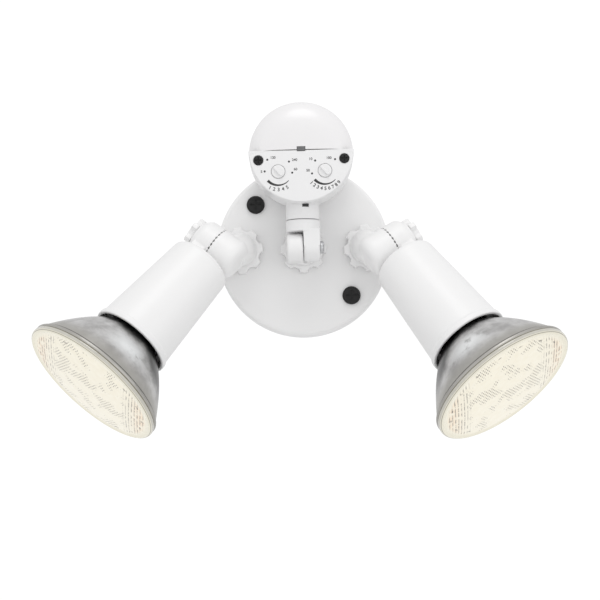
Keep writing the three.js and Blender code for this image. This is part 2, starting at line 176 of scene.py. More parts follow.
def rounded(corners, radii, steps=6):
    """A line through corners with each inner corner rounded to its radius: a quadratic curve
    from one tangent point to the other, with the corner as its control point."""
    corners = np.array(corners, float)
    line = [corners[0]]
    for before, corner, after, radius in zip(corners, corners[1:], corners[2:], radii):
        if radius <= 0:
            line.append(corner)
            continue
        back, on = before - corner, after - corner
        reach = min(radius, np.linalg.norm(back) * 0.49, np.linalg.norm(on) * 0.49)
        start = corner + back / np.linalg.norm(back) * reach
        end = corner + on / np.linalg.norm(on) * reach
        t = np.linspace(0, 1, steps + 1)[:, None]
        line.extend((1 - t) ** 2 * start + 2 * t * (1 - t) * corner + t**2 * end)
    line.append(corners[-1])
    return np.array(line)


def spun(name, place, profile, segments=128, closed=False, sharp=35.0):
    """A profile of (radius, height) carried round w: u = r cos a, v = r sin a, w = height.
    It starts and ends on the axis, or is closed on itself."""
    profile = np.asarray(profile, float)
    a = np.linspace(0, TAU, segments, endpoint=False)
    r, h = profile[:, :1], profile[:, 1:]
    points = np.stack([r * np.cos(a), r * np.sin(a), h + 0 * a], axis=-1)
    faces = grid_faces(len(profile), segments, closed, True)
    return finish_mesh(name, place(points.reshape(-1, 3)), faces, sharp)


def half_spun(name, place, outer, inner, segments=96):
    """Two profiles of (radius, height) carried through half a turn about w, from v = 0 over
    v > 0 to v = 0, joined into a shell whose cut edge lies in the plane v = 0."""
    loop = np.vstack([outer, inner[::-1]])
    a = np.linspace(0, math.pi, segments + 1)[:, None]
    r, h = loop[:, 0], loop[:, 1]
    points = np.stack([r * np.cos(a), r * np.sin(a), h + 0 * a], axis=-1)
    count = len(loop)
    faces = grid_faces(segments + 1, count, False, True)
    strips = [[i, i + 1, count - 2 - i, count - 1 - i] for i in range(len(outer) - 1)]
    last = segments * count
    faces += strips + [[last + i for i in strip] for strip in strips]
    return finish_mesh(name, place(points.reshape(-1, 3)), faces)


def lobe_radius(angle, lobes, tip, valley, share):
    """Outline of a lobed wheel: flat tips, and between them hollows whose depth falls off as
    one minus the cube of the distance from the hollow's middle."""
    pitch = TAU / lobes
    off = np.abs((angle + pitch / 2) % pitch - pitch / 2)
    x = np.clip((pitch / 2 - off) / (pitch / 2 * (1 - share)), 0, 1)
    return tip - (tip - valley) * (1 - x**3) ** 0.9


def lobed(name, place, lobes, tip, valley, bore, low, high, share=0.42, edge=0.9, segments=384):
    """A lobed wheel with a bore: the outline of lobe_radius carried round a section with
    rounded edges, whose outer corners follow the outline and inner corners the bore."""
    a = np.linspace(0, TAU, segments, endpoint=False)
    outline = lobe_radius(a, lobes, tip, valley, share)
    t = np.linspace(0, math.pi / 2, 5)
    rows = [(bore + 0.3 + 0 * a, low), (outline - edge, low)]
    rows += [(outline - edge * (1 - math.sin(s)), low + edge * (1 - math.cos(s))) for s in t[1:]]
    rows += [(outline - edge * (1 - math.cos(s)), high - edge * (1 - math.sin(s))) for s in t]
    rows += [(bore + 0.3 + 0 * a, high), (bore + 0 * a, high - 0.3), (bore + 0 * a, low + 0.3)]
    points = [np.stack([r * np.cos(a), r * np.sin(a), h + 0 * a], axis=-1) for r, h in rows]
    faces = grid_faces(len(rows), segments, True, True)
    return finish_mesh(name, place(np.concatenate(points)), faces, 40)


def threaded(name, place, radius, bore, low, high, pitch=1.8, depth=0.55, segments=96):
    """A threaded pipe: its outer radius falls by a triangle wave of height over pitch plus
    angle over a turn, so that the ridge climbs one pitch in each turn."""
    a = np.linspace(0, TAU, segments, endpoint=False)
    h = np.linspace(low, high, int((high - low) / pitch * 8) + 1)[:, None]
    wave = np.abs(((h / pitch + a / TAU) % 1) * 2 - 1)
    fade = np.clip(np.minimum(h - low, high - h) / 1.0, 0, 1)
    outer = radius - depth * wave * fade - 0.5 * (1 - fade)
    rows = [np.stack([outer * np.cos(a), outer * np.sin(a), h + 0 * a], axis=-1)]
    for level in (high, low):
        rows.append(np.stack([bore * np.cos(a), bore * np.sin(a), level + 0 * a], axis=-1)[None])
    points = np.concatenate(rows)
    return finish_mesh(name, place(points.reshape(-1, 3)), grid_faces(len(points), segments, True, True))


def toothed_ring(name, place, back=-5.0, face=-0.1, per_tooth=8):
    """A knuckle's washer whose face carries radial teeth: its height falls from face by a
    triangle wave of the angle, deepest at the outer edge and in proportion to the radius."""
    outer, inner = BARREL_R + 0.02, TOOTH_BORE
    a = np.linspace(0, TAU, TEETH * per_tooth, endpoint=False)
    wave = np.abs((a * TEETH / TAU % 1) * 2 - 1)
    section = [(inner, back + 0 * a), (outer, back + 0 * a)]
    section += [(r, face - TOOTH_H * wave * r / outer) for r in (outer, (outer + inner) / 2, inner)]
    points = [np.stack([r * np.cos(a), r * np.sin(a), h], axis=-1) for r, h in section]
    faces = grid_faces(len(section), len(a), True, True)
    return finish_mesh(name, place(np.concatenate(points)), faces, 25)


def slab(name, place, outline, low, high, edge=0.4, sharp=35.0):
    """A plate: an outline of (u, v) shrunk towards its middle for the rounded edges and carried
    between two levels, with its faces closed by a fan to the middle."""
    outline = np.asarray(outline, float)
    middle = outline.mean(axis=0)
    reach = np.linalg.norm(outline - middle, axis=1, keepdims=True)
    inward = (middle - outline) / reach
    rings = [(0, low), (edge, low), (0.3 * edge, low + 0.3 * edge), (0, low + edge)]
    rings += [(0, high - edge), (0.3 * edge, high - 0.3 * edge), (edge, high)]
    points = [np.append(middle, low)[None] + 0 * np.zeros((len(outline), 1))]
    for inset, level in rings[1:]:
        ring = outline + inward * inset
        points.append(np.column_stack([ring, np.full(len(ring), level)]))
    points.append(np.append(middle, high)[None] + 0 * np.zeros((len(outline), 1)))
    points = np.concatenate(points)
    faces = grid_faces(len(rings) + 1, len(outline), False, True)
    return finish_mesh(name, place(points), faces, sharp)


def swept(name, place, path, radii, segments=48):
    """A round tube along a path, closed at both ends: each section is a circle square to the
    path's direction, turned as little as possible from the section before."""
    path = np.asarray(path, float)
    tangent = np.gradient(path, axis=0)
    tangent /= np.linalg.norm(tangent, axis=1, keepdims=True)
    side = np.cross(tangent[0], [0.3, 1.0, 0.2])
    a = np.linspace(0, TAU, segments, endpoint=False)[:, None]
    rows = [np.repeat(path[:1], segments, axis=0)]
    for centre, along, radius in zip(path, tangent, radii):
        side = side - along * (side @ along)
        side /= np.linalg.norm(side)
        rows.append(centre + radius * (np.cos(a) * side + np.sin(a) * np.cross(along, side)))
    rows.append(np.repeat(path[-1:], segments, axis=0))
    points = np.concatenate(rows)
    return finish_mesh(name, place(points), grid_faces(len(rows), segments, False, True))


def applied(piece):
    """The piece with its modifiers made part of its mesh."""
    evaluated = piece.evaluated_get(bpy.context.evaluated_depsgraph_get())
    mesh = bpy.data.meshes.new_from_object(evaluated)
    piece.modifiers.clear()
    old = piece.data
    piece.data = mesh
    bpy.data.meshes.remove(old)
    return piece


def combined(piece, tools, operation):
    """The piece joined with or cut by each tool, and its flat faces left evenly shaded. The
    tools are used up."""
    for tool in tools:
        modifier = piece.modifiers.new("tool", "BOOLEAN")
        modifier.operation = operation
        modifier.solver = "EXACT"
        modifier.object = tool
        applied(piece)
        bpy.data.objects.remove(tool)
    cleaned(piece.data, 4e-6, 3e-6, 30, False)
    even = piece.modifiers.new("even", "WEIGHTED_NORMAL")
    even.keep_sharp = True
    return applied(piece)


def joined(name, parts):
    """Several objects as one."""
    whole = parts[0]
    with bpy.context.temp_override(active_object=whole, selected_editable_objects=parts,
                                   selected_objects=parts):
        bpy.ops.object.join()
    whole.name = name
    return whole


def casting(name, parts, voxel, rounds):
    """Overlapping solids run into one skin on a fine lattice and eased, so that they meet in
    the small fillets of a die casting."""
    skin = joined(name, parts)
    remesh = skin.modifiers.new("skin", "REMESH")
    remesh.mode = "VOXEL"
    remesh.voxel_size = voxel * MM
    ease = skin.modifiers.new("ease", "SMOOTH")
    ease.factor = 0.5
    ease.iterations = rounds
    applied(skin)
    skin.data.shade_smooth()
    return skin


def rod(place, radius, low, high, segments=64, edge=0.4):
    """A round bar along w between two levels, its rims eased by the edge."""
    return spun("rod", place, rounded([(0, low), (radius, low), (radius, high), (0, high)],
                                      [edge, edge], 3), segments)


def box(place, low, high):
    """A plain box for a casting or a cut, from its two corners."""
    (x0, y0, z0), (x1, y1, z1) = low, high
    points = [(x, y, z) for x in (x0, x1) for y in (y0, y1) for z in (z0, z1)]
    faces = [[0, 1, 3, 2], [4, 6, 7, 5], [0, 4, 5, 1], [2, 3, 7, 6], [0, 2, 6, 4], [1, 5, 7, 3]]
    return finish_mesh("box", place(points), faces)


# ---- shader maths ----
class Number:
    """A shader socket that takes Python's arithmetic."""

    def __init__(self, shader, socket):
        self.shader, self.socket = shader, socket

    def _math(self, operation, other, swap=False):
        a, b = (other, self) if swap else (self, other)
        return self.shader.node("Math", {"operation": operation}, {0: a, 1: b})

    def __add__(self, other):
        return self._math("ADD", other)

    def __sub__(self, other):
        return self._math("SUBTRACT", other)

    def __mul__(self, other):
        return self._math("MULTIPLY", other)

    def __pow__(self, other):
        return self._math("POWER", other)

    def __rsub__(self, other):
        return self._math("SUBTRACT", other, swap=True)

    __radd__, __rmul__ = __add__, __mul__


class Shader:
    """One material's node tree, with a Principled surface."""

    def __init__(self, name, **constants):
        self.material = bpy.data.materials.new(name)
        self.material.use_nodes = True
        self.tree = self.material.node_tree
        self.surface = self.tree.nodes["Principled BSDF"]
        for key, value in constants.items():
            self.surface.inputs[key.replace("_", " ")].default_value = value

    def node(self, kind, settings=None, inputs=None, output=0):
        """A node of a kind with its settings, then its inputs as values or links."""
        made = self.tree.nodes.new("ShaderNode" + kind)
        for key, value in (settings or {}).items():
            setattr(made, key, value)
        for key, value in (inputs or {}).items():
            if isinstance(value, Number):
                self.tree.links.new(value.socket, made.inputs[key])
            else:
                made.inputs[key].default_value = value
        return Number(self, made.outputs[output])

    def feed(self, name, value):
        self.tree.links.new(value.socket, self.surface.inputs[name])

    def place(self):
        return self.node("TexCoord", output="Object")

    def uv(self):
        return self.node("TexCoord", output="UV")

    def noise(self, where, scale, detail=3.0, rough=0.5):
        return self.node("TexNoise", {}, {"Vector": where, "Scale": scale, "Detail": detail,
                                          "Roughness": rough})

    def smooth(self, value, low, high):
        """A soft step from 0 at low to 1 at high."""
        return self.node("MapRange", {"interpolation_type": "SMOOTHSTEP"},
                         {"Value": value, "From Min": low, "From Max": high})

    def bell(self, value, middle, reach):
        """A soft bump of height 1 about a middle, falling to 0 at the reach on both sides."""
        return 1 - self.smooth(self.absolute(value - middle), 0.0, reach)

    def absolute(self, value):
        return self.node("Math", {"operation": "ABSOLUTE"}, {0: value})

    def wave(self, value, count):
        """A sine that changes sign count times over each unit of the value."""
        return self.node("Math", {"operation": "SINE"}, {0: value * (count * math.pi)})

    def mix(self, factor, a, b):
        return self.node("Mix", {"data_type": "RGBA"}, {0: factor, 6: a, 7: b}, 2)

    def bump(self, height, strength, distance):
        self.feed("Normal", self.node("Bump", {}, {"Height": height, "Strength": strength,
                                                   "Distance": distance}))

    def split(self, vector):
        return [self.node("SeparateXYZ", {}, {0: vector}, axis) for axis in range(3)]


def rgb(level, red=1.0, green=1.0, blue=1.0):
    """A colour as a level of grey and the share of it in each channel."""
    return (level * red, level * green, level * blue, 1.0)


def moulded(name, colour, roughness, grain_scale, grain, coat=0.0, drift=0.06, depth=2e-5):
    """Moulded or painted surface: a faint uneven gloss, a fine grain and a slight colour drift."""
    s = Shader(name, Roughness=roughness, Coat_Weight=coat, Coat_Roughness=0.12)
    where = s.place()
    cloud = s.noise(where, 38.0, 4.0)
    dark = tuple(c * (1 - drift) for c in colour[:3]) + (1.0,)
    s.feed("Base Color", s.mix(cloud, dark, colour))
    s.feed("Roughness", cloud * 0.14 + (roughness - 0.07))
    s.bump(s.noise(where, grain_scale, 2.0), grain, depth)
    return s.material


def turned_metal(name, colour, roughness, drift=0.18, grain=700.0):
    """Metal with fine wear: gloss and tone vary with two sizes of cloud."""
    s = Shader(name, Metallic=1.0)
    where = s.place()
    cloud, fine = s.noise(where, 90.0, 5.0), s.noise(where, grain, 3.0)
    dark = tuple(c * (1 - drift) for c in colour[:3]) + (1.0,)
    s.feed("Base Color", s.mix(cloud, dark, colour))
    s.feed("Roughness", cloud * 0.2 + fine * 0.1 + (roughness - 0.15))
    s.bump(fine, 0.15, 2e-5)
    return s.material


def reflector_finish():
    """Aluminised pressed glass, worked out from the piece's own UV (U the turns away from the
    outer side, V along the lamp): satin silver, darkened by painted shade (a painted dark
    reflection) towards the mouth of the holder and further down its inner side, with a painted
    highlight patch beyond the shade and a duller skirt."""
    s = Shader("silvered_reflector", Metallic=1.0, Coat_Weight=0.3, Coat_Roughness=0.2)
    where = s.place()
    away, along, _ = s.split(s.uv())
    inner_side = s.smooth(away, 0.33, 0.43)
    mottle = s.noise(where, 70.0, 6.0, 0.6)
    # Painted shade: a dark reflection painted in towards the mouth of the holder, reaching further down its inner
    # side and softened by the mottle.
    fade = along - inner_side * 0.20 + (mottle - 0.5) * 0.14
    mouth = 1 - s.smooth(fade, 0.48, 0.68)
    # Painted highlight: a brighter patch of silver beyond the painted shade.
    patch = s.bell(away, 0.31, 0.09) * s.bell(along, 0.74, 0.15) * s.smooth(mottle, 0.28, 0.48)
    skirt = s.smooth(along, 0.80, 0.95)
    silver = s.mix(s.smooth(mottle, 0.3, 0.7), rgb(0.40, 1.0, 0.98, 0.965), rgb(0.68, 1.0, 0.99, 0.98))
    silver = s.mix(patch, silver, rgb(1.0, 0.985, 1.0, 1.0))
    silver = s.mix(skirt * 0.8, silver, rgb(0.42, 1.02, 0.99, 0.91))
    ridge = s.bell(along, 0.958, 0.007)
    silver = s.mix(ridge * 0.9, silver, rgb(0.05, 1.0, 0.95, 0.85))
    s.feed("Base Color", s.mix(mouth * 0.95, silver, rgb(0.02, 1.0, 0.97, 0.93)))
    s.feed("Roughness", mottle * 0.2 + skirt * 0.1 + 0.24)
    s.bump(s.noise(where, 420.0, 3.0), 0.25, 3e-5)
    return s.material


def lamp_glass_finish():
    """Pressed lamp glass with a painted glow in its emission. The piece's UV is its face, -1 to 1 across: patches
    of small square prisms in the middle, upright flutes near the two ends, a few short marks
    under the upper edge, and a plain rim in a dull seam. The painted glow is cream, peach at the
    two ends, and fades towards the rim in painted shade."""
    s = Shader("lamp_glass", Roughness=0.16, Coat_Weight=0.8, Coat_Roughness=0.05)
    # Painted glow: the glass is made to shine by its own emission.
    s.surface.inputs["Emission Strength"].default_value = 0.53
    x, y, _ = s.split(s.uv())
    radius = (x * x + y * y) ** 0.5
    across = s.absolute(x)
    prisms = s.wave(x, 48.0) * s.wave(y, 25.0)
    ends = s.smooth(across, 0.5, 0.64)
    coarse, fine = s.noise(s.uv(), 3.3, 1.0), s.noise(s.uv(), 11.0, 2.0)
    patch = s.smooth(coarse * 0.7 + fine * 0.3, 0.49, 0.56)
    face = 1 - s.smooth(radius, 0.86, 0.91)
    dots = s.smooth(prisms, 0.15, 0.6) * patch * (1 - ends)
    sway = x + (fine - 0.5) * 0.02
    flutes = s.smooth(s.wave(sway, 46.0), 0.0, 0.9) * ends * s.smooth(fine, 0.36, 0.6)
    turn = s.node("Math", {"operation": "ARCTAN2"}, {0: y, 1: x})
    dashes = s.bell(radius, 0.84, 0.02) * s.smooth(s.wave(turn, 5.0), 0.72, 0.9)
    dark = (dots * 0.8 + flutes * 0.75) * face + dashes * s.smooth(fine, 0.4, 0.55) * 0.8
    # Painted glow, peach towards the two ends.
    ends_lit = s.smooth(across, 0.60, 0.86) * face * s.smooth(fine, 0.3, 0.62)
    lit = s.mix(fine, rgb(1.0, 1.0, 0.90, 0.66), rgb(1.0, 1.0, 0.95, 0.78))
    lit = s.mix(ends_lit * 0.9, lit, rgb(1.0, 1.0, 0.71, 0.42))
    # Painted shade: the glow dims towards the rim.
    lit = s.mix(s.smooth(radius, 0.86, 0.97) * 0.5, lit, rgb(0.55, 1.0, 0.95, 0.62))
    lit = s.mix(dark, lit, rgb(0.12, 1.0, 0.80, 0.58))
    lit = s.mix(s.smooth(radius, 0.99, 0.998) * 0.85, lit, rgb(0.16, 1.0, 0.96, 0.85))
    seam = s.bell(radius, 0.984, 0.007)
    s.feed("Emission Color", s.mix(seam, lit, rgb(0.02)))
    glass = s.mix(fine, rgb(0.36, 1.0, 0.97, 0.88), rgb(0.46, 1.0, 0.98, 0.90))
    glass = s.mix(dark, glass, rgb(0.10, 1.0, 0.90, 0.72))
    s.feed("Base Color", s.mix(seam, glass, rgb(0.20, 1.0, 0.93, 0.80)))
    s.bump(dots * 0.7 + flutes + fine * 0.4, 0.6, 4e-4)
    return s.material


def lens_plastic_finish():
    """Milky sensor lens: a soft gloss over a pale body with the faintest grain."""
    s = Shader("sensor_lens_plastic", Roughness=0.3, Coat_Weight=0.25, Coat_Roughness=0.15)
    where = s.place()
    cloud = s.noise(where, 30.0, 3.0)
    s.feed("Base Color", s.mix(cloud, rgb(0.83, 1.0, 0.99, 0.995), rgb(0.86, 1.0, 0.99, 0.995)))
    s.feed("Roughness", cloud * 0.08 + 0.27)
    s.bump(s.noise(where, 600.0, 2.0), 0.05, 2e-5)
    return s.material


def foam_finish():
    """Closed-cell foam: dark cells that bulge a little."""
    s = Shader("foam", Roughness=0.95)
    cells = s.node("TexVoronoi", {}, {"Vector": s.place(), "Scale": 900.0})
    s.feed("Base Color", s.mix(cells, rgb(0.02), rgb(0.07)))
    s.bump(cells, 0.9, 3e-4)
    return s.material


def board_finish():
    """Circuit board: green mask over copper tracks laid as a square brick pattern."""
    s = Shader("circuit_board", Roughness=0.35, Coat_Weight=0.4)
    tracks = s.node("TexBrick", {}, {"Vector": s.place(), "Scale": 210.0, "Mortar Size": 0.06,
                                     "Color1": rgb(0.03, 0.6, 2.6, 1.0), "Color2": rgb(0.03, 0.6, 3.2, 1.1),
                                     "Mortar": rgb(0.16, 0.5, 1.6, 0.6)})
    s.feed("Base Color", tracks)
    return s.material


def porcelain_finish():
    """Glazed porcelain with a few darker specks."""
    s = Shader("porcelain", Roughness=0.2, Coat_Weight=0.6)
    speck = s.noise(s.place(), 500.0, 2.0)
    glaze, dark = rgb(0.82, 1.0, 0.97, 0.9), rgb(0.6, 1.0, 0.95, 0.85)
    s.feed("Base Color", s.mix(s.smooth(speck, 0.62, 0.75), glaze, dark))
    s.bump(speck, 0.1, 5e-5)
    return s.material


def print_finish():
    """Printed ink, slightly uneven."""
    s = Shader("dial_print", Roughness=0.6)
    s.feed("Base Color", s.mix(s.noise(s.place(), 2500.0, 2.0), rgb(0.012), rgb(0.04)))
    return s.material


FINISHES = {
    "white_paint": moulded("white_paint", rgb(0.87, 1.0, 0.998, 0.996), 0.45, 850.0, 0.2, 0.1, 0.02),
    "white_plastic": moulded("white_plastic", rgb(0.85, 1.0, 0.998, 1.0), 0.4, 1400.0, 0.12, 0.12, 0.02),
    "sensor_lens_plastic": lens_plastic_finish(),
    "black_screw": moulded("black_screw", rgb(0.003), 0.62, 1600.0, 0.3, 0.0, 0.4),
    "black_plastic": moulded("black_plastic", rgb(0.02), 0.45, 1200.0, 0.3, 0.1, 0.3),
    "grey_plastic": moulded("grey_plastic", rgb(0.16, 1.0, 1.0, 1.03), 0.45, 1200.0, 0.3, 0.1, 0.3),
    "foam": foam_finish(),
    "steel": turned_metal("steel", rgb(0.62, 0.99, 1.0, 1.02), 0.34),
    "green_steel": turned_metal("green_steel", rgb(0.32, 0.4, 1.3, 0.55), 0.4),
    "seal_rubber": moulded("seal_rubber", rgb(0.50), 0.75, 700.0, 0.5, 0.0, 0.15),
    "porcelain": porcelain_finish(),
    "brass": turned_metal("brass", rgb(0.62, 1.15, 0.86, 0.38), 0.36),
    "silvered_reflector": reflector_finish(),
    "lamp_glass": lamp_glass_finish(),
    "capsule_glass": moulded("capsule_glass", rgb(0.85, 1.0, 0.98, 0.9), 0.15, 900.0, 0.05, 0.5, 0.05),
    "circuit_board": board_finish(),
    "dial_print": print_finish(),
}


# ---- assembly ----
REPLACED = set()


def fit(piece, slot, body, *nodes, finish=None):
    """Names the piece's finish and body, and the model nodes it stands for."""
    piece.data.materials.clear()
    piece.data.materials.append(FINISHES[finish or slot])
    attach(piece, body)
    if nodes:
        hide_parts(*nodes)
        REPLACED.update(nodes)
    return piece


def carried_nodes():
    """The model nodes that stay in view take the finishes made here."""
    slots = {s["node"]: s["material_slot"] for s in frame["record"]["subparts"]}
    for name, node in frame["nodes"].items():
        if name not in REPLACED:
            node.data.materials.clear()
            node.data.materials.append(FINISHES[slots[name]])


def canopy():
    """Cover plate: a shallow turned shell with three hubs and its holes, over a foam ring."""
    wall, inner = CANOPY_WALL, CANOPY_R - CANOPY_WALL
    floor = CANOPY_DEPTH - wall
    shell = spun("canopy_shell", WALL, rounded(
        [(0, CANOPY_DEPTH), (30, CANOPY_DEPTH), (60, CANOPY_DEPTH), (CANOPY_R, CANOPY_DEPTH),
         (CANOPY_R, 1.9), (inner, 1.9), (inner, floor), (62, floor), (30, floor), (0, floor)],
        [0, 0, 4.2, 0.5, 0.5, 2.2, 0, 0], 10), 256)
    nipples = [WALL.shifted(u=x) for x in (-NIPPLE_X, 0, NIPPLE_X)]
    screws = [WALL.shifted(u=s * COVER_SCREW_XZ, v=-s * COVER_SCREW_XZ) for s in (-1, 1)]
    hubs = [rod(place, COLLAR_R, CANOPY_DEPTH - 9, CANOPY_DEPTH - 1) for place in nipples]
    bores = [rod(place, NIPPLE_R + 0.3, 0, 40) for place in nipples]
    holes = [rod(place, 3, 0, 40) for place in screws]
    combined(shell, hubs, "UNION")
    combined(shell, bores + holes, "DIFFERENCE")
    fit(shell, "white_paint", "base", "canopy")

    near, far = CANOPY_R - 7, CANOPY_R - 0.8
    ring = spun("foam_ring", WALL, rounded(
        [(near, 0.8), (near, 1.6), (far, 1.6), (far, 0), (near, 0), (near, 0.8)],
        [0.3, 0.3, 0.2, 0.2], 3), 192, closed=True)
    fit(ring, "foam", "base", "wall_gasket")


def cross_screw(name, place, head_r, head_low, head_high, shank_r, shank_end, arm):
    """A round-topped screw with a cross recess: its head's rim curves up to a low crown."""
    profile = rounded([(0, shank_end), (shank_r, shank_end), (shank_r, head_low), (head_r, head_low),
                       (head_r, head_high - 0.9), (head_r * 0.62, head_high), (0, head_high)],
                      [0.4, 0.3, 0.4, 1.6, head_r * 0.3], 6)
    screw = spun(name, place, profile, 72)
    half = arm * 0.19
    deep, top = head_high - 1.1, head_high + 1
    return combined(screw, [box(place, (-arm, -half, deep), (arm, half, top)),
                            box(place, (-half, -arm, deep), (half, arm, top))], "DIFFERENCE")


def cover_screws():
    """The two big round-headed screws that hold the canopy to its crossbar."""
    for name, s in (("upper", -1), ("lower", 1)):
        place = WALL.shifted(u=s * COVER_SCREW_XZ, v=-s * COVER_SCREW_XZ)
        screw = cross_screw(f"cover_screw_head_{name}", place, COVER_SCREW_R, CANOPY_DEPTH + 0.3,
                            CANOPY_DEPTH + 3.9, 2.3, 0.5, 4.6)
        fit(screw, "black_screw", "base", f"cover_screw_{name}")


def locknut(name, body, x, turn=0.0):
    """Scalloped locknut: eight flat tips with hollows between them."""
    c, s = math.cos(turn), math.sin(turn)
    place = Place([x, 0, 0], [c, 0, s], [-s, 0, c], [0, -1, 0])
    nut = lobed(f"{name}_scalloped", place, 8, NUT["tip"], NUT["valley"], NIPPLE_R + 0.3,
                NUT["near"], NUT["far"])
    fit(nut, "white_paint", body, name)


def elbow(side, swing, lamp):
    """Lamp elbow: a collar and a leaning neck that run into a barrel with a rounded end. The
    neck is cut off short of the toothed face."""
    across = lamp.turned("vwu")
    barrel = spun("barrel", across, rounded(
        [(0, BARREL_END), (BARREL_R, BARREL_END), (BARREL_R, -FACE_GAP), (0, -FACE_GAP)],
        [12.0, 0.3], 14), 96)
    t = np.linspace(0, 1, 12)[:, None]
    start, bend, end = np.array([[0, 0, COLLAR_W + 1], [0, 0, 42], [2, -10, 53]])
    path = (1 - t) ** 2 * start + 2 * t * (1 - t) * bend + t**2 * end
    neck = swept("neck", swing, path, np.linspace(13.2, 13.8, 12))
    combined(neck, [box(across, (-40, -40, -FACE_GAP), (40, 40, 40))], "DIFFERENCE")
    collar = rod(swing, COLLAR_R, COLLAR_W, COLLAR_W + 4, 96, 0.8)
    skin = casting(f"elbow_body_{side}", [barrel, neck, collar], 0.45, 6)
    fit(skin, "white_paint", f"elbow_{side}", f"elbow_{side}")
    teeth = toothed_ring(f"elbow_teeth_{side}", across)
    fit(teeth, "white_paint", f"elbow_{side}", f"elbow_{side}")
    pipe = threaded(f"nipple_{side}", swing, NIPPLE_R, 6.5, 9.1, COLLAR_W + 0.5)
    fit(pipe, "white_paint", f"elbow_{side}", f"elbow_{side}")


def lampholder(side, lamp):
    """Lampholder: a tapered cup with a beaded lip, and a toothed ear on a web at its back."""
    inner = LIP_R - 2.6
    cup = spun(f"lampholder_cup_{side}", lamp, rounded(
        [(0, HOLDER_BACK), (CUP_R, HOLDER_BACK), (31.9, HOLDER_LIP - 5.9), (LIP_R, HOLDER_LIP - 4.3),
         (LIP_R, HOLDER_LIP), (inner, HOLDER_LIP), (inner - 0.9, HOLDER_LIP - 7.5),
         (23.3, HOLDER_BACK + 8), (21, HOLDER_BACK + 3.1), (0, HOLDER_BACK + 3.1)],
        [5.2, 1.6, 1.2, 1.5, 0.9, 1.5, 2.0, 1.5], 10), 192)
    fit(cup, "white_paint", f"lampholder_{side}", f"lampholder_{side}")
    across = lamp.turned("vwu")
    ear = spun("ear", across, rounded(
        [(0, FACE_GAP), (BARREL_R, FACE_GAP), (BARREL_R, 13), (EAR_R, EAR_END - 1.3),
         (EAR_R - 0.6, EAR_END), (0, EAR_END)],
        [0.3, 2.6, 1.2, 0.5], 8), 96)
    web = box(lamp, (2.6, -13.2, 0), (14.2, 13.2, HOLDER_BACK + 2))
    foot = box(lamp, (1.6, -15, HOLDER_BACK - 0.5), (15.5, 15, HOLDER_BACK + 2))
    skin = casting(f"lampholder_ear_{side}", [ear, web, foot], 0.45, 6)
    fit(skin, "white_paint", f"lampholder_{side}", f"lampholder_{side}")
    facing = Place(across.origin, across.axes[0], across.axes[1], -across.axes[2])
    teeth = toothed_ring(f"holder_teeth_{side}", facing)
    fit(teeth, "white_paint", f"lampholder_{side}", f"lampholder_{side}")


def clamp_knob(side, lamp):
    """Clamp knob: six lobes and a low crown over the head of its bolt."""
    across = lamp.turned("vwu")
    knob = lobed(f"clamp_knob_lobed_{side}", across, 6, 13.4, 10.0, 3.3, KNOB_U, KNOB_U + KNOB_H,
                 share=0.3, edge=1.2, segments=288)
    low, high = KNOB_U + KNOB_H - 0.8, KNOB_U + KNOB_H + 1.0
    crown = spun(f"clamp_crown_{side}", across, rounded(
        [(0, low), (8.6, low), (8.2, high), (0, high)], [0.2, 1.4], 6), 96)
    fit(knob, "white_paint", f"clamp_{side}", f"clamp_knob_{side}")
    fit(crown, "white_paint", f"clamp_{side}", f"clamp_knob_{side}")


def add_uv(piece, values):
    """Gives each corner of the piece the (U, V) of its point."""
    mesh = piece.data
    layer = mesh.uv_layers.new(name="face")
    index = np.empty(len(mesh.loops), np.int32)
    mesh.loops.foreach_get("vertex_index", index)
    layer.data.foreach_set("uv", np.asarray(values, np.float32)[index].ravel())


def local(piece, place):
    """The piece's points in a place's own millimetres."""
    points = np.empty(len(piece.data.vertices) * 3)
    piece.data.vertices.foreach_get("co", points)
    return (points.reshape(-1, 3) / MM - place.origin) @ np.linalg.inv(place.axes)


def reflector(side, lamp):
    """Silvered bowl: r squared grows evenly with the height, as in a parabola, from the neck to
    a bead at the rim."""
    neck, base, start = LAMP_NECK, LAMP_BASE, LAMP_NECK - 1.5
    h = np.linspace(neck + 5, LAMP_RIM - 4.4, 40)
    bowl_r = (LAMP_R - 2.2) * np.sqrt((h - start) / (LAMP_RIM - 4.4 - start))
    bowl = np.column_stack([bowl_r, h])
    rim = rounded([bowl[-1], (LAMP_R - 1.9, LAMP_RIM - 3.4), (LAMP_R - 0.2, LAMP_RIM - 2.9),
                   (LAMP_R - 0.2, LAMP_RIM - 0.3), (LAMP_R - 3, LAMP_RIM - 0.3)], [0.8, 0.8, 0.8], 4)
    inside = np.column_stack([bowl_r[::-1] - 2, h[::-1]])
    profile = np.vstack([[(13.6, base), (16.4, base), (19.5, neck)], bowl, rim[1:], inside,
                         [(17.9, neck + 1), (14.8, base + 4), (13.6, base + 4), (13.6, base)]])
    bowl = spun(f"reflector_bowl_{side}", lamp, profile, 224, closed=True)
    points = local(bowl, lamp)
    away = np.abs(np.arctan2(points[:, 1], points[:, 0])) / TAU
    add_uv(bowl, np.column_stack([away, (points[:, 2] - base) / (LAMP_RIM - base)]))
    fit(bowl, "silvered_reflector", f"lamp_{side}", f"reflector_{side}")


